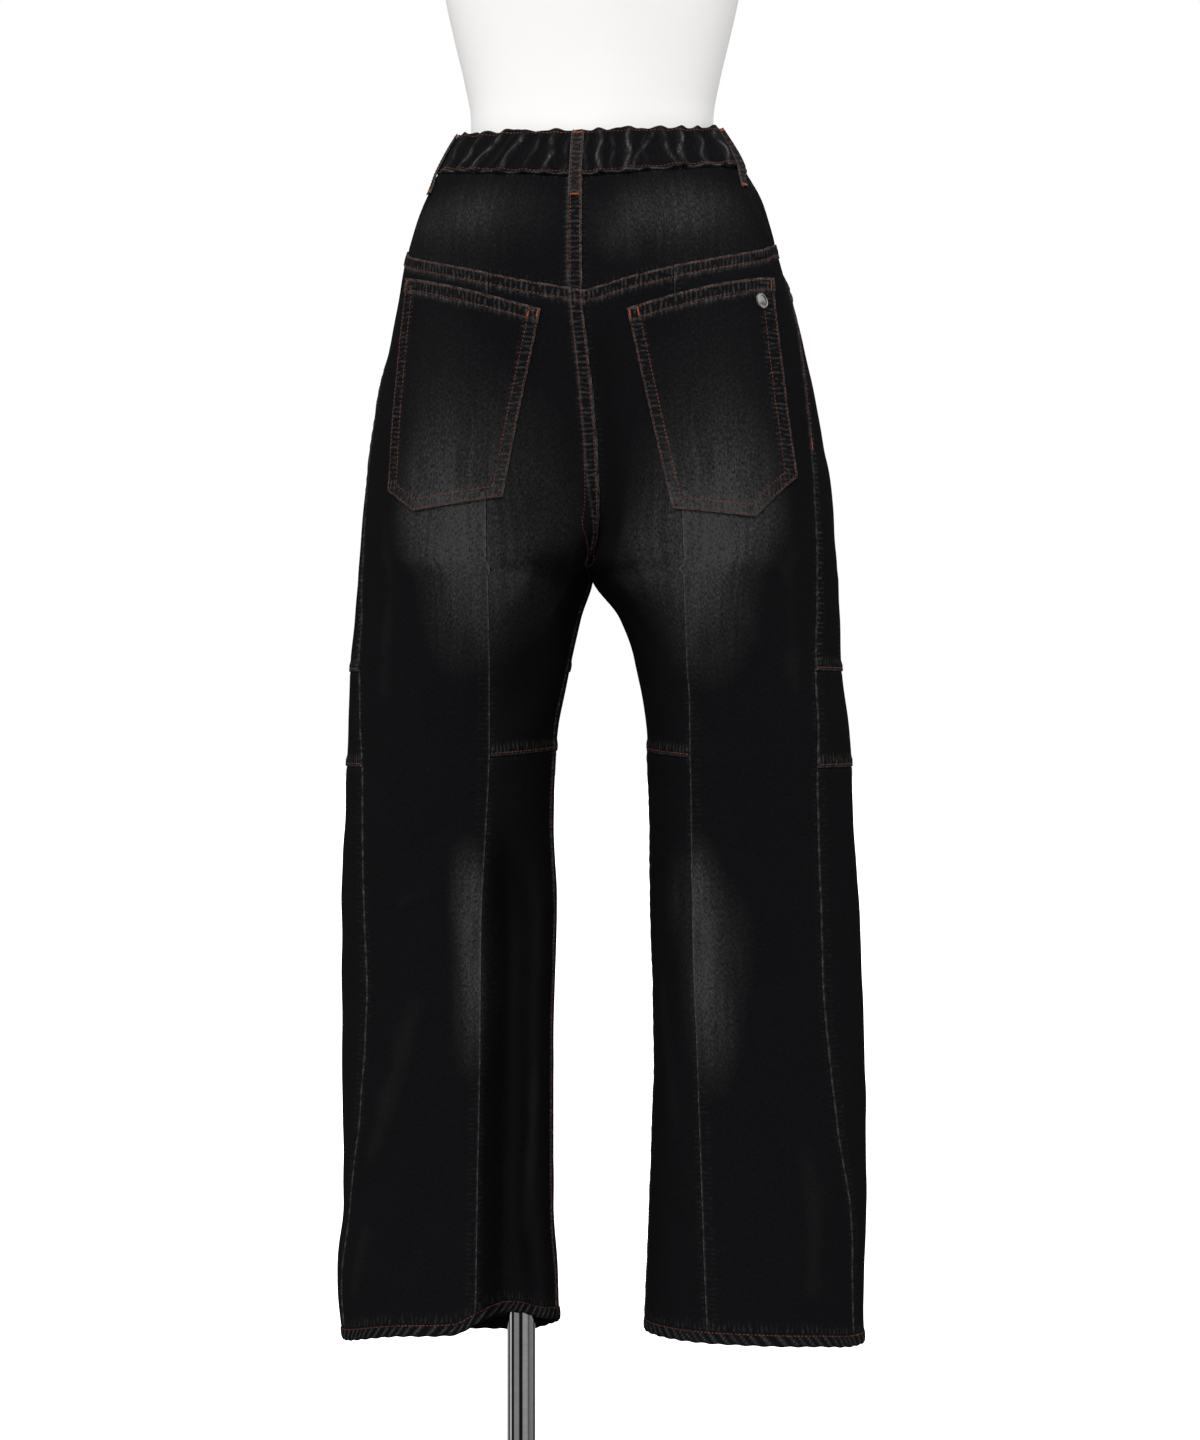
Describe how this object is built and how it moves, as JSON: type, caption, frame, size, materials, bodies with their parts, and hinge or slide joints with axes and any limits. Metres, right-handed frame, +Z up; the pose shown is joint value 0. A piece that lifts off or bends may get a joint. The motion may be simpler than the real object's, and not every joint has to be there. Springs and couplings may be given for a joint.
{
  "type": "wide-leg jeans on a dress form",
  "caption": "Faded black denim jeans with wide curved legs and a gathered back waist, hanging on a limbless torso form with a pole and a round base plate.",
  "frame": {"origin": "centre of the base plate's underside, on the floor", "axes": "+Z up, +X towards the wearer's left, -Y towards the garment's front"},
  "size_m": [0.4681, 0.36, 1.443],
  "materials": {
    "denim": "washed black denim, matte",
    "silver_metal": "worn silver",
    "form_shell": "smooth matte white",
    "chrome": "polished",
    "steel_plate": "brushed"
  },
  "bodies": {
    "root": {"back_inner_lower_left": "denim", "back_inner_lower_right": "denim", "back_inner_upper_left": "denim", "back_inner_upper_right": "denim", "back_outer_left": "denim", "back_outer_right": "denim", "back_pocket_left": "denim", "back_pocket_right": "denim", "back_pocket_stud": "silver_metal", "base_plate": "steel_plate", "belt_loop_back_left": "denim", "belt_loop_back_right": "denim", "belt_loop_centre": "denim", "belt_loop_front_left": "denim", "belt_loop_front_right": "denim", "dress_form": "form_shell", "fly": "denim", "front_knee_left": "denim", "front_knee_right": "denim", "front_lower_left": "denim", "front_lower_right": "denim", "front_upper_left": "denim", "front_upper_right": "denim", "hem_left": "denim", "hem_right": "denim", "pocket_facing_left": "denim", "pocket_facing_right": "denim", "pole": "chrome", "pole_collar": "chrome", "rivet_side_left": "silver_metal", "rivet_side_right": "silver_metal", "rivet_waist_left": "silver_metal", "rivet_waist_right": "silver_metal", "waist_button": "silver_metal", "waistband_back": "denim", "waistband_front_left": "denim", "waistband_front_right": "denim", "yoke_left": "denim", "yoke_right": "denim"}
  },
  "joints": []
}
